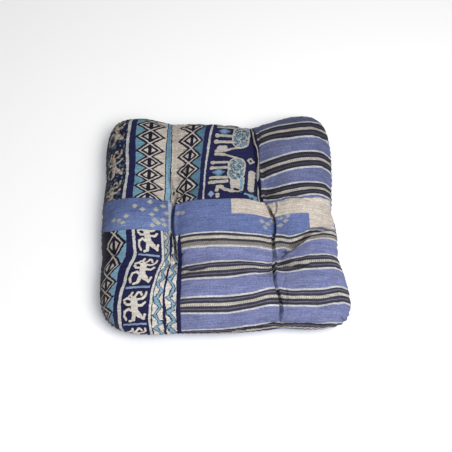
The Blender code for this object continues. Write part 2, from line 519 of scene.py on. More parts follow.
def worked(marks):
    """Small diamonds: distance is the sum of the two distances from a mark's middle, each as a share
    of half its size."""
    nearest = None
    for x, y in marks:
        away = band_point.vector_math("SUBTRACT", (x, y, 0)).vector_math("ABSOLUTE")
        away = away.vector_math("DOT_PRODUCT", (1 / MARK_HALF[0], 1 / MARK_HALF[1], 0), output=1)
        nearest = away if nearest is None else lower(nearest, away)
    return within(nearest - 1.0, 0.5) * MARK_STRENGTH


mottle = noise(band_point, 1.6)
slub = noise(point(band_x * 0.22, band_y * 5.0), 1.0, 4.0)
# The left length is darker towards the back and paler towards the front: partly the cloth's own tone, partly
# painted shade.
painted_shade_and_tone_edge = band_y - PAINTED_SHADE_AND_TONE_CHANGE + (mottle - 0.5) * PAINTED_SHADE_AND_TONE_WANDER
left_length = layered(BAND_BLUE_DARK, (painted_shade_and_tone_edge, 2.6, BAND_BLUE_PALE))
band_cloth = layered(BAND_BLUE, (band_x - BAND_JOIN, 0.3, left_length))
mark_thread = layered(OLIVE, (mottle - 0.5, 0.1, STONE))
band_cloth = over(worked(LEFT_MARKS), band_cloth, mark_thread)
band_cloth = over(worked(RIGHT_MARKS), band_cloth, STONE)
band_cloth = over(between(band_x, BAND_JOIN - SELVAGE_WIDTH, BAND_JOIN, 0.1), band_cloth, BAND_SELVAGE)
block_edge = band_x + (slub - 0.5) * 0.15
block_foot = within(BLOCK_FOOT - band_y)
block = between(block_edge, BLOCK_LEFT, BLOCK_RIGHT) * higher(block_foot, within(BLOCK_STEP - block_edge))
band_cloth = over(block, band_cloth, BLOCK_CREAM)

# The striped cloths. Handloomed cotton with groups of white, navy, violet and cream lines on blue. The
# stuffing bends the lines, so the tables say where the white lines that edge each group lie at places
# along them, in centimetres on the cut cloth.
STRIPE_REPEAT = 5.5
BLUE_WIDTH = 2.7
FRONT_STRIPES = (
    ("white", 0.28), ("navy", 0.28), ("violet", 0.20), ("navy", 0.36), ("cream", 0.44),
    ("navy", 0.38), ("violet", 0.20), ("navy", 0.38), ("white", 0.28),
)
# The back cloth's colours are darker copies of the front's: painted shade on the back slopes.
BACK_STRIPES = (
    ("shade white", 0.28), ("shade navy", 0.36), ("dusk", 0.20), ("shade navy", 0.36), ("shade cream", 0.42),
    ("shade navy", 0.28), ("dusk", 0.20), ("shade navy", 0.42), ("shade white", 0.28),
)
FIRST_STRIPES = (
    ("white", 0.28), ("navy", 0.40), ("olive", 0.12), ("cream", 0.52), ("navy", 0.46), ("olive", 0.56),
    ("stone", 0.18), ("white", 0.28),
)
# The painted shade colours are darker copies of the others, used on the back cloth.
STRIPE_DYES = {
    "white": dye(0.470, 0.470, 0.480),
    "shade white": dye(0.420, 0.420, 0.440),
    "navy": dye(0.036, 0.036, 0.050),
    "shade navy": dye(0.024, 0.024, 0.034),
    "violet": dye(0.110, 0.100, 0.150),
    "dusk": dye(0.046, 0.042, 0.062),
    "cream": dye(0.475, 0.447, 0.400),
    "shade cream": dye(0.420, 0.395, 0.350),
    "olive": dye(0.150, 0.132, 0.115),
    "stone": dye(0.270, 0.255, 0.240),
    "blue": dye(0.166, 0.183, 0.328),
    "shade blue": dye(0.118, 0.132, 0.236),
}
BACK_RIGHT_LINES = (
    (6.0, 1.4, 3.5, 5.4, 8.7, 12.1, 15.9),
    (7.5, 1.8, 4.5, 5.75, 9.3, 12.5, 16.1),
    (9.5, 1.4, 4.1, 5.9, 9.15, 12.4, 16.4),
    (12.0, 1.4, 3.95, 6.1, 9.4, 12.1, 16.7),
    (15.0, 1.7, 4.05, 6.45, 9.9, 12.65, 17.25),
    (18.0, 2.0, 4.45, 7.15, 10.5, 13.45, 17.8),
    (22.0, 2.3, 4.9, 7.7, 11.2, 14.0, 18.2),
)
FRONT_RIGHT_LINES = (
    (-7.0, -4.85, -7.3, -10.1, -13.1, -15.9, -18.7, -21.8),
    (-3.5, -5.05, -7.55, -10.05, -13.4, -16.1, -19.0, -21.8),
    (0.0, -5.15, -7.7, -10.05, -13.45, -16.25, -19.15, -21.7),
    (4.0, -5.5, -7.85, -9.95, -12.9, -15.9, -18.65, -21.2),
    (7.5, -5.4, -7.95, -9.85, -12.3, -15.05, -18.0, -20.8),
    (9.0, -5.05, -7.6, -9.2, -12.0, -15.0, -18.0, -21.0),
    (11.0, -5.7, -7.8, -9.2, -12.4, -15.45, -18.2, -21.1),
    (14.5, -4.6, -6.45, -9.0, -12.4, -15.6, -18.45, -21.2),
    (19.0, -3.85, -5.95, -8.5, -11.6, -14.6, -17.4, -20.9),
    (22.5, -3.6, -5.7, -8.3, -11.3, -14.2, -17.0, -20.5),
)
group_edges = [k * STRIPE_REPEAT + edge for k in range(4) for edge in (0.0, STRIPE_REPEAT - BLUE_WIDTH)]
FIRST_GROUP_END = 3.2
FIRST_CREAM_MIDDLE = 1.06
FIRST_OLIVE_MIDDLE = 2.06
# How far the blue past the last back group is darkened towards navy: painted shade on the back slope.
LAST_BLUE_PAINTED_SHADE = 0.35
LINE_WAVER = 0.14
STREAK_SHARE = 0.35
DASH_SLANT = 1.5
DASH_PITCH = 0.34
keep_places("back_right", u, straightened(v, u, BACK_RIGHT_LINES, group_edges[:6]))
keep_places("front_right", u, straightened(v, u, FRONT_RIGHT_LINES, group_edges[:7]))


def striped(place, stripes, blue):
    """The colours of one repeat in a ramp, with a stop to each side of every change."""
    edge = 0.02
    stops = []
    start = 0.0
    for name, width in stripes + ((blue, BLUE_WIDTH),):
        stops.append(((start + edge) / STRIPE_REPEAT, STRIPE_DYES[name]))
        stops.append(((start + width - edge) / STRIPE_REPEAT, STRIPE_DYES[name]))
        start += width
    return Wire.of(loom, "ValToRGB", {"stops": stops}, {0: place % STRIPE_REPEAT / STRIPE_REPEAT})


def dashed(ground, along, across, middle, half_width, dash, paint, strength):
    """Short slanted dashes along a line, where a coloured yarn floats over and under."""
    slanted = along / dash + across * DASH_SLANT
    marks = within(abs(slanted % 1.0 - 0.5) - 0.22, 0.25) * within(abs(across - middle) - half_width, 0.06)
    return over(marks * strength, ground, paint)


BLUE_MIDDLE = STRIPE_REPEAT - BLUE_WIDTH / 2
CREAM_MIDDLE = (STRIPE_REPEAT - BLUE_WIDTH) / 2
DARK_FLOAT = dye(0.110, 0.100, 0.105)
PALE_FLOAT = dye(0.300, 0.310, 0.420)
DEEP_BLUE = dye(0.095, 0.120, 0.270)


def handloom(name, stripes, blue, cream_half):
    """The striped cloth: lines that waver a little, deeper streaks and a faint dotted line in the blue,
    and dashes in the cream line. Also its places along and across the lines."""
    along, across = cloth_place(name)[:2]
    across = across + (noise(point(along * 0.5, across * 2.0), 1.0) - 0.5) * LINE_WAVER
    repeat = across % STRIPE_REPEAT
    cloth = striped(across, stripes, blue)
    tone = noise(point(along * 0.15, across * 1.6), 1.0)
    in_blue = within(STRIPE_REPEAT - BLUE_WIDTH - repeat) * within(repeat - STRIPE_REPEAT)
    cloth = over(in_blue * within(0.50 - tone, 0.25) * STREAK_SHARE, cloth, DEEP_BLUE)
    cloth = dashed(cloth, along, repeat, CREAM_MIDDLE, cream_half, DASH_PITCH, DARK_FLOAT, 0.55)
    patchy = within(noise(point(along * 0.35, across * 0.35), 1.0) - 0.52, 0.2)
    cloth = over(patchy * 0.8, cloth, dashed(cloth, along, repeat, BLUE_MIDDLE, 0.10, 0.52, PALE_FLOAT, 0.5))
    return cloth, along, across


back_right_cloth, _, back_stripe = handloom("back_right", BACK_STRIPES, "shade blue", 0.20)
# Painted shade on the back slope: the blue past the last group, by the back rim, is darkened towards navy.
last_blue_painted_shade = within(group_edges[5] - back_stripe) * LAST_BLUE_PAINTED_SHADE
back_right_cloth = over(last_blue_painted_shade, back_right_cloth, STRIPE_DYES["navy"])
front_right_cloth, stripe_along, front_stripe = handloom("front_right", FRONT_STRIPES, "blue", 0.28)
first_group = striped(front_stripe, FIRST_STRIPES, "blue")
for middle, half, paint, strength in (
    (FIRST_CREAM_MIDDLE, 0.22, DARK_FLOAT, 0.4),
    (FIRST_OLIVE_MIDDLE, 0.26, STRIPE_DYES["stone"], 0.7),
):
    first_group = dashed(first_group, stripe_along, front_stripe, middle, half, DASH_PITCH, paint, strength)
front_right_cloth = layered(front_right_cloth, (front_stripe - FIRST_GROUP_END, PRINT_EDGE, first_group))

# The printed cloths. Cotton printed by the wax method in navy, turquoise and cream: columns of lozenges,
# lines, beasts, zigzags and elephants. One piece is at the back left and one at the front left. The
# tables say where the printed lines lie at places along the columns, in centimetres on the cut cloth.
NAVY = dye(0.015, 0.016, 0.060)
INK = dye(0.011, 0.011, 0.024)
TEAL = dye(0.080, 0.155, 0.215)
TURQUOISE = dye(0.140, 0.258, 0.345)
BRIGHT_TURQUOISE = dye(0.182, 0.310, 0.415)
CREAM = dye(0.430, 0.385, 0.340)
BONE = dye(0.545, 0.510, 0.470)
IVORY = dye(0.365, 0.340, 0.312)
BLANKET_TEAL = dye(0.160, 0.235, 0.285)
OCHRE = dye(0.190, 0.135, 0.095)
PALE_TEAL = dye(0.270, 0.330, 0.350)
SEA_GREEN = dye(0.115, 0.225, 0.290)
SEA_BLUE = dye(0.170, 0.235, 0.400)
CRACKLE = dye(0.200, 0.150, 0.120)
PALE_LINE = dye(0.400, 0.395, 0.380)
BRIGHT_LINE = dye(0.500, 0.500, 0.470)
PALE_BLUE = dye(0.207, 0.277, 0.409)
PRINT_WANDER = 0.16
BACK_LEFT_LINES = (
    (0.0, -16.6, -16.0, -14.7, -9.45, -8.5, -6.4, -4.0, -3.1, -2.8),
    (3.0, -16.45, -15.85, -14.6, -9.45, -8.5, -6.25, -3.75, -3.0, -2.7),
    (6.0, -16.05, -15.6, -14.4, -9.35, -8.4, -5.9, -3.4, -2.75, -2.4),
    (8.2, -15.95, -15.4, -14.3, -9.3, -8.35, -5.5, -3.2, -2.45, -2.1),
    (11.0, -16.1, -15.55, -14.25, -9.2, -8.25, -5.0, -2.85, -2.1, -1.6),
    (14.0, -16.0, -15.45, -14.35, -9.0, -8.2, -4.75, -2.5, -1.65, -1.2),
    (18.0, -15.8, -15.25, -14.3, -8.9, -8.25, -4.5, -2.0, -1.05, -0.7),
    (23.0, -15.7, -15.15, -14.2, -8.9, -8.25, -4.4, -1.9, -0.9, -0.6),
)
BACK_LEFT_FLAT = (0.0, 0.6, 2.0, 7.1, 8.0, 10.9, 13.3, 14.1, 14.55)
LOZENGE_MIDDLES = (1.9, 4.25, 6.5, 8.6, 11.0, 13.9, 17.2, 20.5, 23.5)
LOZENGE_PITCH = 2.4
FRONT_LEFT_LINES = (
    (-22.5, -17.3, -16.5, -15.9, -11.9, -11.45, -9.45, -7.75),
    (-19.75, -17.5, -16.8, -16.25, -12.0, -11.55, -9.5, -7.75),
    (-16.5, -17.75, -16.85, -16.2, -11.7, -11.25, -9.5, -7.65),
    (-13.5, -17.3, -16.1, -15.5, -11.1, -10.7, -9.25, -7.65),
    (-11.0, -16.8, -15.3, -14.75, -10.45, -10.05, -8.9, -7.55),
    (-8.5, -15.75, -14.4, -13.9, -9.9, -9.5, -8.55, -7.4),
    (-4.75, -15.65, -14.65, -14.15, -10.05, -9.65, -8.45, -7.3),
    (-2.0, -15.6, -14.7, -14.2, -10.1, -9.7, -8.4, -7.3),
)
FRONT_LEFT_FLAT = (0.0, 1.1, 1.65, 5.9, 6.3, 7.7, 8.9)
FRONT_LOZENGE_MIDDLES = (-22.4, -19.8, -17.4, -15.2, -12.7, -10.0, -6.1, -2.6)
SELVAGE_EDGE = ((-1, 6.2), (3, 6.1), (7.4, 6.3), (10, 6.5), (11.8, 6.4), (13.5, 6.0), (16, 5.85), (23, 5.6))


def lozenge_count(middles):
    """How many lozenges each point is past the middle of the first, by a smooth curve through them."""
    return curve_through(v, middles, np.arange(len(middles)))


before_first = np.minimum(v - LOZENGE_MIDDLES[0], 0.0)
back_left_along = LOZENGE_PITCH * lozenge_count(LOZENGE_MIDDLES) + before_first
front_left_along = LOZENGE_PITCH * lozenge_count(FRONT_LOZENGE_MIDDLES)
selvage = u - curve_through(v, *zip(*SELVAGE_EDGE))
keep_places("back_left", straightened(u, v, BACK_LEFT_LINES, BACK_LEFT_FLAT), back_left_along, selvage)
keep_places("front_left", straightened(u, v, FRONT_LEFT_LINES, FRONT_LEFT_FLAT), v, front_left_along)

wander = three_parts(noise(object_place, 170.0, 3.0).beside(1))
wander_across, wander_along = [(way - 0.5) * PRINT_WANDER * 2 for way in wander[:2]]
back_across, back_along, past_selvage = cloth_place("back_left")
back_across = back_across + wander_across
back_along = back_along + wander_along
front_across, front_along, front_lozenge_along = cloth_place("front_left")
front_across = front_across + wander_across
front_along = front_along + wander_along
front_lozenge_along = front_lozenge_along + wander_along


def lozenges(ground, across, along, middle, half_width, pitch, phase, left, right, start, end):
    """A column of lozenges whose cream outlines cross between them. The distance from a lozenge's
    middle is the sum of the shares of its half width and half height: cream runs at 1, with ink to
    both sides of it, and inside are two cream corners with a dark bar between."""
    sideways = (across - middle) / half_width
    lengthways = abs((along / pitch + phase) % 1.0 - 0.5) * 2.0
    ring = abs(sideways) + lengthways
    lozenge = layered(right, (sideways, 0.05, left))
    lozenge = layered(lozenge, (ring - 1.40, 0.08, INK), (ring - 1.09, 0.08, CREAM), (ring - 0.89, 0.08, INK))
    corners = within(ring - 0.56, 0.08) * within(0.18 - abs(sideways), 0.06)
    lozenge = over(corners, lozenge, CREAM)
    return over(between(across, start, end), ground, lozenge)


def banded(ground, across, *bands):
    """Bands printed over a ground, each with its two edges and its paint."""
    for start, end, paint in bands:
        ground = over(between(across, start, end), ground, paint)
    return ground


def stroke(place, start, end, half_width):
    """Distance of a place from a brush stroke with round ends: that from the nearest point between the
    stroke's two ends, less half its width."""
    run = np.subtract(end, start)
    length = max(run @ run, 1e-6)
    share = place.vector_math("DOT_PRODUCT", (*run / length, 0), output=1)
    share = share.math("ADD", share, -(run @ np.array(start)) / length, clamp=True)
    nearest = share.vector_math("MULTIPLY_ADD", (*run, 0), (*start, 0))
    return place.vector_math("DISTANCE", nearest, output=1) - half_width


def brushed(place, *strokes):
    """Distance from the nearest of several strokes, each a row of its two ends and its half width."""
    nearest = None
    for x0, y0, x1, y1, half_width in strokes:
        away = stroke(place, (x0, y0), (x1, y1), half_width)
        nearest = away if nearest is None else lower(nearest, away)
    return nearest


# Horned beasts, one to a field of 4.25 by 5.9 cm, drawn freely with a broad brush. Each row is a stroke,
# with its two ends and half its width, in centimetres from the field's lower left.
BEAST_PITCH = 5.9
BEAST = (
    (1.95, 3.90, 2.15, 2.40, 0.50),
    (1.30, 4.50, 1.95, 4.15, 0.38),
    (0.50, 4.25, 1.25, 4.50, 0.20),
    (1.45, 4.80, 1.55, 5.20, 0.16),
    (2.00, 4.60, 2.40, 5.15, 0.18),
    (2.40, 5.15, 2.80, 5.20, 0.18),
    (2.80, 5.20, 3.00, 4.80, 0.17),
    (2.45, 4.15, 3.10, 4.20, 0.18),
    (3.10, 4.20, 3.55, 4.65, 0.18),
    (3.55, 4.65, 3.60, 5.20, 0.17),
    (1.70, 3.50, 0.95, 3.45, 0.19),
    (0.95, 3.45, 0.55, 3.85, 0.18),
    (2.40, 3.25, 3.20, 3.20, 0.20),
    (3.20, 3.20, 3.65, 3.65, 0.18),
    (2.20, 2.25, 2.90, 1.60, 0.40),
    (2.90, 1.50, 3.50, 1.10, 0.24),
    (3.50, 1.10, 3.70, 1.75, 0.18),
    (2.05, 2.15, 1.90, 0.95, 0.30),
    (1.90, 0.90, 1.35, 0.75, 0.20),
    (1.75, 2.35, 1.20, 2.75, 0.17),
    (1.20, 2.75, 0.60, 2.45, 0.18),
    (0.60, 2.45, 0.50, 1.60, 0.19),
    (0.50, 1.60, 0.75, 1.05, 0.19),
)
BEAST_EYE = (1.30, 4.55, 1.40, 4.50, 0.08)
BEAST_OUTLINE = 0.16
FRONT_FIELD_LEFT = 1.65
FRONT_FIELD_SHIFT = 2.7
BACK_FIELD_LEFT = -5.0
BACK_FIELD_SHIFT = 1.9
BACK_BEAST_SCALE = (0.85, 0.92)
front_beast_x = front_across - FRONT_FIELD_LEFT
front_beast_y = (front_along + FRONT_FIELD_SHIFT) % BEAST_PITCH
back_beast_x = (back_across - BACK_FIELD_LEFT) * BACK_BEAST_SCALE[0]
back_beast_y = (back_along * BACK_BEAST_SCALE[1] + BACK_FIELD_SHIFT) % BEAST_PITCH
beast_place = point(front_beast_x + (back_beast_x - front_beast_x) * at_back,
                    front_beast_y + (back_beast_y - front_beast_y) * at_back)
beast = brushed(beast_place, *BEAST)
beast_ground = over(at_back * 0.6, NAVY, INK)
beast_ground = over(at_back * within(0.58 - mottle, 0.06) * 0.8, beast_ground, TEAL)
beast_dye = over(at_back, BONE, layered(IVORY, (0.52 - mottle, 0.06, OCHRE)))
beasts = layered(beast_ground, (beast - BEAST_OUTLINE, 0.08, INK), (beast, 0.10, beast_dye),
                 (brushed(beast_place, BEAST_EYE), 0.06, INK))
bar = between(front_beast_y, -0.05, 0.32, 0.08) * between(front_beast_x, 0.25, 3.9, 0.1)
front_beasts = over(bar, beasts, PALE_BLUE)

# Elephants in pairs that stand tail to tail, their backs to the right, each with a patterned blanket.
# The strokes are in centimetres across from the cream line and along from a little before the trunk.
ELEPHANT_MEETING = 8.7
ELEPHANT = (
    (1.20, 8.40, 2.60, 8.30, 0.30),
    (2.60, 8.30, 3.60, 8.00, 0.20),
    (3.60, 8.00, 5.20, 7.55, 0.18),
    (0.95, 6.60, 3.60, 6.60, 0.26),
    (0.95, 6.60, 1.05, 6.60, 0.40),
    (0.95, 5.40, 3.60, 5.45, 0.25),
    (0.95, 5.40, 1.05, 5.40, 0.38),
    (0.85, 3.50, 3.60, 3.50, 0.26),
    (0.70, 2.65, 3.70, 2.80, 0.27),
    (5.00, 2.75, 5.20, 1.60, 0.80),
    (6.15, 3.20, 6.10, 1.50, 0.46),
    (6.10, 1.40, 5.50, 0.95, 0.42),
    (5.50, 0.90, 4.40, 0.85, 0.38),
    (4.40, 0.85, 3.40, 1.20, 0.34),
    (3.40, 1.20, 2.60, 1.80, 0.34),
    (2.80, 1.85, 2.25, 1.80, 0.36),
    (2.15, 1.80, 2.05, 1.00, 0.33),
    (2.20, 0.05, 2.20, -0.40, 0.32),
    (7.85, 1.70, 7.70, 4.60, 0.55),
)
EAR = (6.15, 3.30, 6.15, 1.70, 0.25)
ELEPHANT_EYE = (5.20, 1.30, 5.55, 1.25, 0.36)
BLANKET = (5.10, 4.35, 5.10, 6.25, 1.50)
TAIL_FOOT = (1.70, 9.60, 2.55, 9.60, 0.50)
BURST = (6.80, 0.50, 8.80, -0.50, 0.35)
elephant_x = back_across - BACK_LEFT_FLAT[-1]
elephant_y = ELEPHANT_MEETING - abs(back_along - ELEPHANT_MEETING)
elephant_place = point(elephant_x, elephant_y)
elephant = lower(brushed(elephant_place, *ELEPHANT), brushed(point(elephant_x, back_along), TAIL_FOOT))
blanket = brushed(elephant_place, BLANKET)
figure = lower(elephant, blanket)
lace = noise(elephant_place, 1.9, 4.0)
blanket_cloth = layered(BLANKET_TEAL, (abs(lace - 0.47) - 0.030, 0.04, INK), (0.535 - lace, 0.05, PALE_TEAL),
                        (0.60 - lace, 0.05, IVORY))
gem = abs(elephant_x - 2.1) * 1.2 + abs(elephant_y - 4.5) * 1.6
burst = brushed(elephant_place, BURST) + (lace - 0.5) * 3.0
star = abs(elephant_x - 1.1) * 1.3 + abs(elephant_y - 0.2)
loop = abs(abs(elephant_x - 7.3) * 1.2 + abs(back_along - 7.4) - 0.60)
elephants = layered(
    NAVY,
    (figure - 0.18, 0.08, INK),
    (figure, 0.10, IVORY),
    (blanket + 0.26, 0.06, blanket_cloth),
    (brushed(elephant_place, EAR), 0.08, TURQUOISE),
    (brushed(elephant_place, ELEPHANT_EYE), 0.06, INK),
    (gem - 1.35, 0.2, TEAL),
    (gem - 0.80, 0.2, SEA_BLUE),
    (burst, 0.2, BRIGHT_TURQUOISE),
    (star - 0.75, 0.2, PALE_BLUE),
    (loop - 0.24, 0.1, IVORY),
)

# Zigzags in two narrow columns. The blue of their lines turns pale towards the back, and the hand of the
# printer leaves their pitch uneven.
ZIGZAG_PALE = -7.5
ZIGZAG_SWING = 0.60
ZIGZAG_MARGIN = 0.20
uneven = (noise(point(front_across * 0.8, front_along * 0.8), 1.0) - 0.5) * 2.4


def zigzag(ground, across, along, start, end, pitch):
    """A column with a line that swings from side to side between inked edges, on cream."""
    swing = abs((along + uneven) / pitch % 1.0 - 0.5) * 2.0
    away = abs((across - start) / (end - start) - (swing * ZIGZAG_SWING + ZIGZAG_MARGIN))
    line_blue = layered(BRIGHT_TURQUOISE, (ZIGZAG_PALE - along, 2.0, PALE_TEAL))
    column = layered(BONE, (away - 0.26, 0.08, INK), (away - 0.15, 0.08, line_blue))
    return over(between(across + uneven * 0.12, start, end), ground, column)


# Both printed cloths, put together from their columns, left to right. Places across are in centimetres
# from each cloth's first line. The cream between the columns is crackled where the wax broke.
crackle = noise(point(back_across, back_along), 1.3, 5.0)
crackled = over(within(abs(crackle - 0.5) - 0.012, 0.015) * 0.7, CREAM, CRACKLE)
back_left_cloth = layered(NAVY, (back_across, PRINT_EDGE, beasts))
back_left_cloth = banded(back_left_cloth, back_across, (0.0, 0.6, PALE_LINE))
back_left_cloth = lozenges(back_left_cloth, back_across, back_along, 4.4, 1.8, LOZENGE_PITCH, 0.6,
                           SEA_GREEN, CREAM, 2.0, 7.05)
back_left_cloth = banded(back_left_cloth, back_across, (7.05, 8.05, INK), (7.2, 7.9, BRIGHT_TURQUOISE),
                         (8.05, 9.3, crackled))
back_left_cloth = lozenges(back_left_cloth, back_across, back_along, 11.1, 1.55, LOZENGE_PITCH * 1.2, 0.63,
                           crackled, TEAL, 9.0, 13.3)
back_left_cloth = layered(back_left_cloth, (14.13 - back_across, PRINT_EDGE, PALE_LINE),
                          (14.50 - back_across, PRINT_EDGE, elephants),
                          (-1.0 * past_selvage, PRINT_EDGE, INK))
back_left_cloth = over(within(abs(past_selvage - 0.3) - 0.11, 0.06) * 0.85, back_left_cloth, PALE_LINE)

front_left_cloth = lozenges(NAVY, front_across, front_lozenge_along, -2.4, 1.75, LOZENGE_PITCH, 0.5,
                            INK, BRIGHT_TURQUOISE, -6.0, 0.0)
front_left_cloth = banded(front_left_cloth, front_across, (1.1, 1.62, BRIGHT_LINE),
                          (1.68, 5.87, front_beasts), (5.9, 6.25, BRIGHT_LINE))
front_left_cloth = zigzag(front_left_cloth, front_across, front_along, 6.38, 7.55, 2.5)
front_left_cloth = zigzag(front_left_cloth, front_across, front_along + 0.8, 7.85, 9.0, 2.7)

# The cover's finish. The pieces meet in their seams, which show as thin dark grooves with painted shade
# in them. Handwoven yarn gives all of it a dry, matte face with fine slubs, and painted shade darkens the
# creases and the left rim.
# How dark the painted shade is in the creases and along the left rim, and the grey of the rim's painted
# shade.
FOLD_SHADE = 0.75
RIM_SHADE = 0.7
RIM_PAINTED_SHADE_GREY = dye(0.075, 0.075, 0.080)
# The painted shade in the seam grooves: half its width, in centimetres, and how dark it is.
SEAM_HALF = 0.05
SEAM_PAINTED_SHADE = 0.5
CLOTH_ROUGHNESS = 0.92
CLOTH_GLOSS = 0.08
CLOTH_BUMP = (0.4, 0.0006)


def dimmed(tree, dyed, shade):
    """A colour times a shade: the shade its yarns give it, and on the cover also the painted shade of the
    creases.
    """
    return Wire.of(tree, "VectorMath", {"operation": "SCALE"}, {0: dyed, "Scale": shade})


def finish(tree, dyed, roughness, gloss, bump, height):
    """The shader of a cloth or thread. The bump is its strength and how deep it is, in metres."""
    threads = Wire.of(tree, "Bump", {}, {"Strength": bump[0], "Distance": bump[1], "Height": height})
    inputs = {"Base Color": dyed, "Roughness": roughness, "Specular IOR Level": gloss, "Normal": threads}
    Wire.of(tree, "OutputMaterial", {}, {"Surface": Wire.of(tree, "BsdfPrincipled", {}, inputs)})


back_cloth = over(at_left, back_right_cloth, back_left_cloth)
front_cloth = over(at_left, front_right_cloth, front_left_cloth)
cover_colour = over(at_back, band_cloth, back_cloth)
cover_colour = over(at_front, cover_colour, front_cloth)
off_band = higher(at_back, at_front)
seam_gap = lower(lower(abs(above_top), abs(above_foot)), abs(right_of) + (1 - off_band) * 5.0)
# Painted shade in the seam grooves: ink laid thinly over the cloth along each seam.
cover_colour = over(within(seam_gap - SEAM_HALF, 0.1) * SEAM_PAINTED_SHADE, cover_colour, INK)
fold_painted_shade, painted_rim_shade = cloth_place("folds")[:2]
# Painted shade along the left rim, where the shoulder turns away from the light: grey laid over the cloth.
cover_colour = over(painted_rim_shade * RIM_SHADE, cover_colour, RIM_PAINTED_SHADE_GREY)
# The cloth's random fading, darkened in the creases by painted shade.
fading_and_painted_shade = (noise(object_place, 42.0, 5.0) * 0.5 + 0.75) * (1 - fold_painted_shade * FOLD_SHADE)
streak = noise(point(band_x * 0.6, band_y * 16.0), 1.0, 3.0)
slubs = slub * 1.15 + streak * 0.65 + 0.10
specks = noise(object_place, 380.0, 1.0) * 0.9 + 0.55
cover_colour = dimmed(loom, cover_colour, fading_and_painted_shade * slubs * specks)
finish(loom, cover_colour, CLOTH_ROUGHNESS, CLOTH_GLOSS, CLOTH_BUMP, noise(object_place, 900.0, 1.0) + slub)

# The underside, one panel of plain cotton in the band's periwinkle blue, sewn to the face round the
# edge. Its slubs run from side to side.
under_cotton, under_loom = new_material("underside_cotton")
under_place = real_place(under_loom)
under_slub = noise(under_place.vector_math("MULTIPLY", (22.0, 500.0, 22.0)), 1.0, 4.0)
under_shade = (noise(under_place, 42.0, 5.0) * 0.5 + 0.75) * (under_slub * 0.35 + 0.82)
under_dye = dimmed(under_loom, BAND_BLUE[:3], under_shade)
finish(under_loom, under_dye, CLOTH_ROUGHNESS, CLOTH_GLOSS, CLOTH_BUMP, under_slub)

# The cover's surface. The filling pushes the cloth out between the edge seam and the stitches, and the
# stitches pull sharp creases into it. The push is in metres. Creases, grooves, puckers and rumples are in
# centimetres on the cut cloth.
SIM_FRAMES = 20
PRESSURE = 4.0
SPARE_CLOTH = 0.03
MOST_PUSHED = 0.004
PUSHED_SIDEWAYS = 0.35
TUFT_HOLD = 0.007
# Each crease gives its depth, its width and the places that it runs through.
SEWN_CREASES = (
    (0.75, 0.19, ((-7.4, 4.1), (-7.6, 2.1), (-8.0, 0.3), (-8.2, -1.5), (-8.2, -3.4), (-7.9, -5.5),
        (-7.7, -7.9), (-7.5, -9.1))),
    (0.30, 0.22, ((-8.6, 20.0), (-8.7, 15.0), (-8.8, 10.0), (-8.5, 6.0), (-7.9, 2.6))),
    (0.35, 0.25, ((-6.2, 8.5), (-6.0, 6.0), (-6.3, 4.0), (-7.0, 2.2))),
    (0.30, 0.14, ((7.3, 1.3), (7.6, 0.3), (7.9, -0.6), (8.3, -1.8))),
    (0.35, 0.14, ((9.1, 1.1), (9.2, -0.1), (9.0, -1.1), (8.6, -2.0))),
    (0.75, 0.19, ((7.3, 1.7), (7.9, 0.0), (8.5, -1.6), (8.7, -2.8), (8.7, -4.4), (8.3, -6.0), (8.3, -7.9),
        (8.6, -9.1), (8.6, -10.2))),
    (0.75, 0.18, ((8.3, -8.2), (8.1, -11.0), (8.0, -13.8), (8.2, -15.2), (8.7, -17.0), (8.8, -18.6),
        (8.5, -21.4))),
    (0.30, 0.75, ((8.7, -9.7), (10.0, -8.8), (11.6, -7.9), (14.0, -6.8))),
    (0.50, 0.24, ((8.5, -9.2), (9.9, -8.4), (11.4, -7.4), (13.0, -6.4), (14.1, -5.4), (14.8, -4.7),
        (16.7, -4.3), (20.0, -3.6))),
    (0.30, 0.26, ((9.1, -10.6), (10.3, -10.7), (12.2, -11.5), (13.9, -10.9))),
    (0.20, 0.26, ((-6.7, -10.3), (-5.1, -11.3), (-2.8, -11.3))),
    (0.50, 0.17, ((5.7, 18.9), (5.9, 14.5), (6.2, 12.0), (6.4, 8.5), (6.4, 5.8), (6.8, 3.8), (7.2, 2.2))),
    (0.20, 0.15, ((-7.2, -8.3), (-6.1, -7.6))),
    (0.30, 0.18, ((0.0, -23.1), (2.4, -22.4), (5.9, -21.6), (7.9, -21.0), (11.8, -21.5), (15.0, -21.5),
        (18.2, -20.8))),
    (0.20, 0.30, ((-17.6, -7.4), (-20.7, -7.4))),
    (0.35, 0.14, ((19.2, -20.6), (18.3, -19.9))),
    (0.30, 0.14, ((-9.4, -4.0), (-9.3, -7.5), (-9.1, -10.5))),
    (0.30, 0.14, ((-8.6, -4.0), (-8.5, -7.0), (-8.4, -10.0))),
)
DEEPEST_CREASE = 0.75
# The painted shade of the creases: the share of its wide halo and the widths of its core and halo, in crease
# widths; then the width of the painted shade along the left rim, in centimetres.
PAINTED_SHADE_SPREAD = 0.28
PAINTED_SHADE_CORE = 0.9
PAINTED_SHADE_HALO = 4
PAINTED_RIM_SHADE_WIDTH = 2.2
CREASE_LIP = 0.3
LIP_PLACE = 2.4
LIP_WIDTH = 1.3
CREASE_RUNOUT = 0.15
GROOVE_DEPTH = 0.10
GROOVE_WIDTH = 0.14
ALLOWANCE_RISE = 0.04
ALLOWANCE_WIDTH = 0.45
PUCKER_PITCH = 1.0
PUCKER_HEIGHT = 0.17
PUCKER_REACH = 1.1
PUCKER_MEAN = 0.6
PUCKER_DRIFT = 1.2
PUCKER_UNEVENNESS = 0.5
NET_CELLS = 80
# Each layer of rumples gives its pitch, its height and its random seed.
RUMPLES = ((2.2, 0.05, 3), (0.9, 0.025, 4))


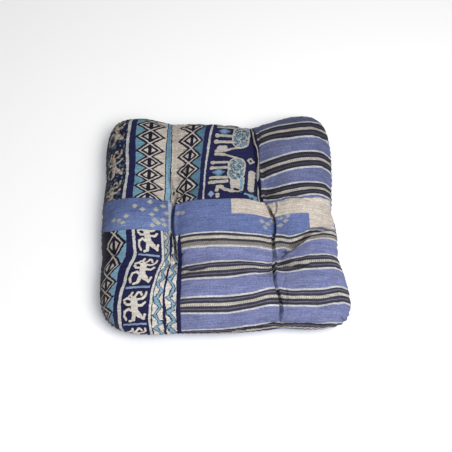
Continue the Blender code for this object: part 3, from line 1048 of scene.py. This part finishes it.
def pushed_out(face, under):
    """How far the filling pushes each point of the face, found with Blender's cloth: air pressure and no
    gravity, with the underside, the edge seam and the tufts held."""
    points, faces, inner = closed_cover(face, under)
    stuffing = new_object("stuffing", new_mesh("stuffing", points, faces))
    tufts = LATTICE[1:3, 1:3].reshape(-1, 2)
    away = np.min([np.hypot(face[..., 0] - x, face[..., 1] - y) for x, y in tufts], axis=0)
    held = np.concatenate([(~inner | (away < TUFT_HOLD)).ravel(), np.ones(inner.sum(), bool)])
    group = stuffing.vertex_groups.new(name="held")
    group.add(np.flatnonzero(held).tolist(), 1.0, "REPLACE")
    cloth = stuffing.modifiers.new("push", "CLOTH")
    cloth.settings.vertex_group_mass = "held"
    cloth.settings.use_pressure = True
    cloth.settings.uniform_pressure_force = PRESSURE
    cloth.settings.shrink_min = -SPARE_CLOTH
    cloth.settings.effector_weights.gravity = 0.0
    for frame_number in range(1, SIM_FRAMES + 1):
        bpy.context.scene.frame_set(frame_number)
    pushed = stuffing.evaluated_get(bpy.context.evaluated_depsgraph_get()).data
    after = np.empty(points.size, np.float32)
    pushed.vertices.foreach_get("co", after)
    bpy.data.objects.remove(stuffing)
    bpy.context.scene.frame_set(1)
    move = (after.reshape(-1, 3) - points)[:inner.size].reshape(face.shape)
    length = np.linalg.norm(move, axis=-1, keepdims=True)
    move *= np.minimum(1.0, MOST_PUSHED / np.maximum(length, 1e-9))
    return move * (PUSHED_SIDEWAYS, PUSHED_SIDEWAYS, 1.0)


def along_line(places):
    """Distance on the cloth from a line of places, and the share of its length at the nearest point."""
    lengths = np.hypot(*np.diff(places, axis=0).T)
    nearest = np.full(u.shape, np.inf)
    share = np.zeros(u.shape)
    before = 0.0
    for start, end, length in zip(places[:-1], places[1:], lengths):
        t, away = near(u, v, start, end, rounding=0.0)
        share = np.where(away < nearest, (before + t * length) / lengths.sum(), share)
        nearest = np.minimum(away, nearest)
        before += length
    return nearest, share


def bell(share):
    """1 where the share is 0, falling off on both sides by the square's exponential."""
    return np.exp(-share ** 2)


def rumple(pitch, seed):
    """Smooth bumps between -1 and 1: random values on a square net, blended by the smoothstep."""
    values = np.random.default_rng(seed).uniform(-1.0, 1.0, (NET_CELLS, NET_CELLS))
    a, b = u / pitch + NET_CELLS / 2, v / pitch + NET_CELLS / 2
    column, row = a.astype(int), b.astype(int)
    a, b = a - column, b - row
    a, b = a * a * (3 - 2 * a), b * b * (3 - 2 * b)
    low = values[row, column] * (1 - a) + values[row, column + 1] * a
    high = values[row + 1, column] * (1 - a) + values[row + 1, column + 1] * a
    return low * (1 - b) + high * b


def puckers(place, phase, from_edge):
    """Gathers square to the edge seam, rounded on top and sharp between: the absolute sine of the place
    along the seam, fading with the distance from it."""
    wave = np.abs(np.sin(np.pi * (place / PUCKER_PITCH + phase)))
    return (wave - PUCKER_MEAN) * np.exp(-from_edge / PUCKER_REACH)


def normals(grid):
    """Unit normals of a grid of points: the cross product of its two directions."""
    out = np.cross(np.gradient(grid, axis=1), np.gradient(grid, axis=0))
    return out / np.linalg.norm(out, axis=-1, keepdims=True)


relief = sum(height * rumple(pitch, seed) for pitch, height, seed in RUMPLES)
crease_painted_shade = np.zeros(u.shape)
for depth, width, places in SEWN_CREASES:
    away, share = along_line(np.array(places))
    runout = np.clip(np.minimum(share, 1 - share) / CREASE_RUNOUT, 0.0, 1.0)
    shape = bell(away / width) - CREASE_LIP * bell((away / width - LIP_PLACE) / LIP_WIDTH)
    relief -= depth * runout * (2 - runout) * shape
    # Painted shade in each crease: a dark core and a wider, fainter halo, darker the deeper the crease.
    crease_shade_share = bell(away / width / PAINTED_SHADE_CORE) + PAINTED_SHADE_SPREAD * bell(away / width / PAINTED_SHADE_HALO)
    crease_shade_share *= depth * runout / DEEPEST_CREASE / (1 + PAINTED_SHADE_SPREAD)
    crease_painted_shade = np.maximum(crease_painted_shade, crease_shade_share)
from_left = u - u[:, :1]
# The mesh keeps the painted shade of the creases and of the left rim.
keep_places("folds", crease_painted_shade, bell(from_left / PAINTED_RIM_SHADE_WIDTH))
in_band = (v < band_top) & (v > band_foot)
seam_away = np.minimum(np.abs(v - band_top), np.abs(v - band_foot))
seam_away = np.minimum(seam_away, np.where(in_band, np.inf, np.abs(right_of_seam)))
relief += ALLOWANCE_RISE * bell(seam_away / ALLOWANCE_WIDTH) - GROOVE_DEPTH * bell(seam_away / GROOVE_WIDTH)
from_side = np.minimum(from_left, u[:, -1:] - u)
from_end = np.minimum(v - v[:1], v[-1:] - v)
drift = PUCKER_DRIFT * rumple(3.0, 5)
strength = PUCKER_HEIGHT * (1 + PUCKER_UNEVENNESS * rumple(5.0, 6))
relief += strength * (puckers(u, drift, from_end) + puckers(v, drift, from_side))

face = finer(face + pushed_out(face, under))
under = finer(under)
face += normals(face) * (relief * CM)[..., None]
under[..., 2] = np.maximum(under[..., 2], 0.0)
points, faces, inner = closed_cover(face, under)
points[:, :2] -= centre
mesh = new_mesh("cushion_cover", points, faces)
cover = new_object("cushion_cover", mesh)
for name, grid in cloth_maps.items():
    layer = mesh.attributes.new(name, "FLOAT_VECTOR", "POINT")
    values = np.concatenate([grid.reshape(-1, 3), grid[inner]])
    layer.data.foreach_set("vector", np.ascontiguousarray(values, np.float32).ravel())
mesh.materials.append(cotton)
mesh.materials.append(under_cotton)
on_underside = np.arange(len(faces)) >= len(faces) // 2
mesh.polygons.foreach_set("material_index", on_underside.astype(np.int32))
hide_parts("cushion")
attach(cover, "root")

# The tuft stitches. At each tuft two strands of dark cotton thread come up out of the filling, lie over
# the cloth and go down again.
THREAD_RADIUS = 0.0007
STITCH_HALF = 0.0045
STITCH_RISE = 0.0010
STITCH_SINK = 0.0035
STRAND_GAP = 0.0016
STRAND_STEPS = 16
STRAND_SIDES = 8
STITCH_TURNS = np.radians((20.0, -35.0, 80.0, 10.0))
THREAD_DARK = dye(0.010, 0.010, 0.020)
THREAD_PALE = dye(0.030, 0.030, 0.055)
THREAD_ROUGHNESS = 0.8
THREAD_GLOSS = 0.2
THREAD_BUMP = (0.5, 0.0003)


def strand(middle, turn, aside):
    """Points and faces of one strand: rings round an arc that rises by a parabola over the cloth and
    dips at its ends by the fourth power, each end closed by one point."""
    share = np.linspace(-1.0, 1.0, STRAND_STEPS)
    along = np.array([np.cos(turn), np.sin(turn), 0.0])
    across = np.array([-np.sin(turn), np.cos(turn), 0.0])
    path = middle + share[:, None] * STITCH_HALF * along + aside * across
    path[:, 2] += STITCH_RISE * (1 - share ** 2) - STITCH_SINK * share ** 4
    way = np.gradient(path, axis=0)
    way /= np.linalg.norm(way, axis=1, keepdims=True)
    up = np.cross(way, across)
    angle = np.arange(STRAND_SIDES) * 2 * np.pi / STRAND_SIDES
    ring = np.cos(angle)[None, :, None] * across + np.sin(angle)[None, :, None] * up[:, None]
    points = np.concatenate([(path[:, None] + THREAD_RADIUS * ring).reshape(-1, 3), path[:1], path[-1:]])
    first = STRAND_STEPS * STRAND_SIDES
    number = np.arange(first).reshape(STRAND_STEPS, STRAND_SIDES)
    number = np.concatenate([number, number[:, :1]], axis=1)
    start = [(first, a, b) for a, b in zip(number[0, 1:], number[0, :-1])]
    end = [(first + 1, a, b) for a, b in zip(number[-1, :-1], number[-1, 1:])]
    return points, quads(number).tolist() + start + end


points = []
faces = []
centred = face[..., :2] - centre
for (x, y), turn in zip(LATTICE[1:3, 1:3].reshape(-1, 2) - centre, STITCH_TURNS):
    row, column = np.unravel_index(np.argmin(np.hypot(centred[..., 0] - x, centred[..., 1] - y)), u.shape)
    middle = np.array([x, y, face[row, column, 2]])
    for aside in (-STRAND_GAP / 2, STRAND_GAP / 2):
        strand_points, strand_faces = strand(middle, turn, aside)
        faces += [[n + len(points) for n in one] for one in strand_faces]
        points += strand_points.tolist()
stitch_mesh = bpy.data.meshes.new("tuft_stitches")
stitch_mesh.from_pydata(points, [], faces)
stitch_mesh.polygons.foreach_set("use_smooth", np.ones(len(faces), bool))
stitches = new_object("tuft_stitches", stitch_mesh)
thread, twist = new_material("sewing_thread")
ply = noise(real_place(twist), 1500.0)
finish(twist, over(ply, THREAD_DARK, THREAD_PALE), THREAD_ROUGHNESS, THREAD_GLOSS, THREAD_BUMP, ply)
stitch_mesh.materials.append(thread)
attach(stitches, "root")

# The floor, a plain pale sheet, and soft studio light: a broad lamp above the front right, a weak one
# above the back left, and an even white sky.
FLOOR_HALF = 3.0
FLOOR_WHITE = 0.95
SKY_STRENGTH = 0.42
floor_mesh = bpy.data.meshes.new("floor")
floor_mesh.from_pydata([(-FLOOR_HALF, -FLOOR_HALF, 0), (FLOOR_HALF, -FLOOR_HALF, 0),
                        (FLOOR_HALF, FLOOR_HALF, 0), (-FLOOR_HALF, FLOOR_HALF, 0)], [], [(0, 1, 2, 3)])
floor = new_object("floor", floor_mesh)
floor_paint = bpy.data.materials.new("pale_floor")
floor_paint.use_nodes = True
floor_sockets = floor_paint.node_tree.nodes["Principled BSDF"].inputs
floor_sockets["Base Color"].default_value = dye(FLOOR_WHITE, FLOOR_WHITE, FLOOR_WHITE)
floor_sockets["Roughness"].default_value = 0.8
floor_mesh.materials.append(floor_paint)

world = bpy.data.worlds.new("studio")
world.use_nodes = True
sky = world.node_tree.nodes["Background"].inputs
sky["Color"].default_value = dye(1.0, 1.0, 1.0)
sky["Strength"].default_value = SKY_STRENGTH
bpy.context.scene.world = world
LAMPS = (
    {"name": "main_lamp", "place": (0.55, -0.60, 1.40), "size": 0.9, "power": 24.0},
    {"name": "back_lamp", "place": (-0.6, 0.9, 1.4), "size": 1.0, "power": 2.0},
)
for lamp in LAMPS:
    light = bpy.data.lights.new(lamp["name"], "AREA")
    light.size = lamp["size"]
    light.energy = lamp["power"]
    holder = new_object(lamp["name"], light)
    holder.location = lamp["place"]
    holder.rotation_euler = (-Vector(lamp["place"])).to_track_quat("-Z", "Y").to_euler()
bpy.context.scene.view_settings.view_transform = "Standard"

# The camera looks down on the face at the angle at which the cushion was seen, from 1.27 m away.
CAMERA_TARGET = Vector((0.0075, -0.0157, 0.03))
CAMERA_ELEVATION = np.radians(63.0)
CAMERA_AZIMUTH = np.radians(-2.0)
CAMERA_DISTANCE = 1.27
CAMERA_LENS = 59.25
camera_data = bpy.data.cameras.new("camera")
camera_data.lens = CAMERA_LENS
camera = new_object("camera", camera_data)
towards = Vector((np.sin(CAMERA_AZIMUTH) * np.cos(CAMERA_ELEVATION),
                  -np.cos(CAMERA_AZIMUTH) * np.cos(CAMERA_ELEVATION), np.sin(CAMERA_ELEVATION)))
camera.location = CAMERA_TARGET + towards * CAMERA_DISTANCE
camera.rotation_euler = (-towards).to_track_quat("-Z", "Y").to_euler()
bpy.context.scene.camera = camera
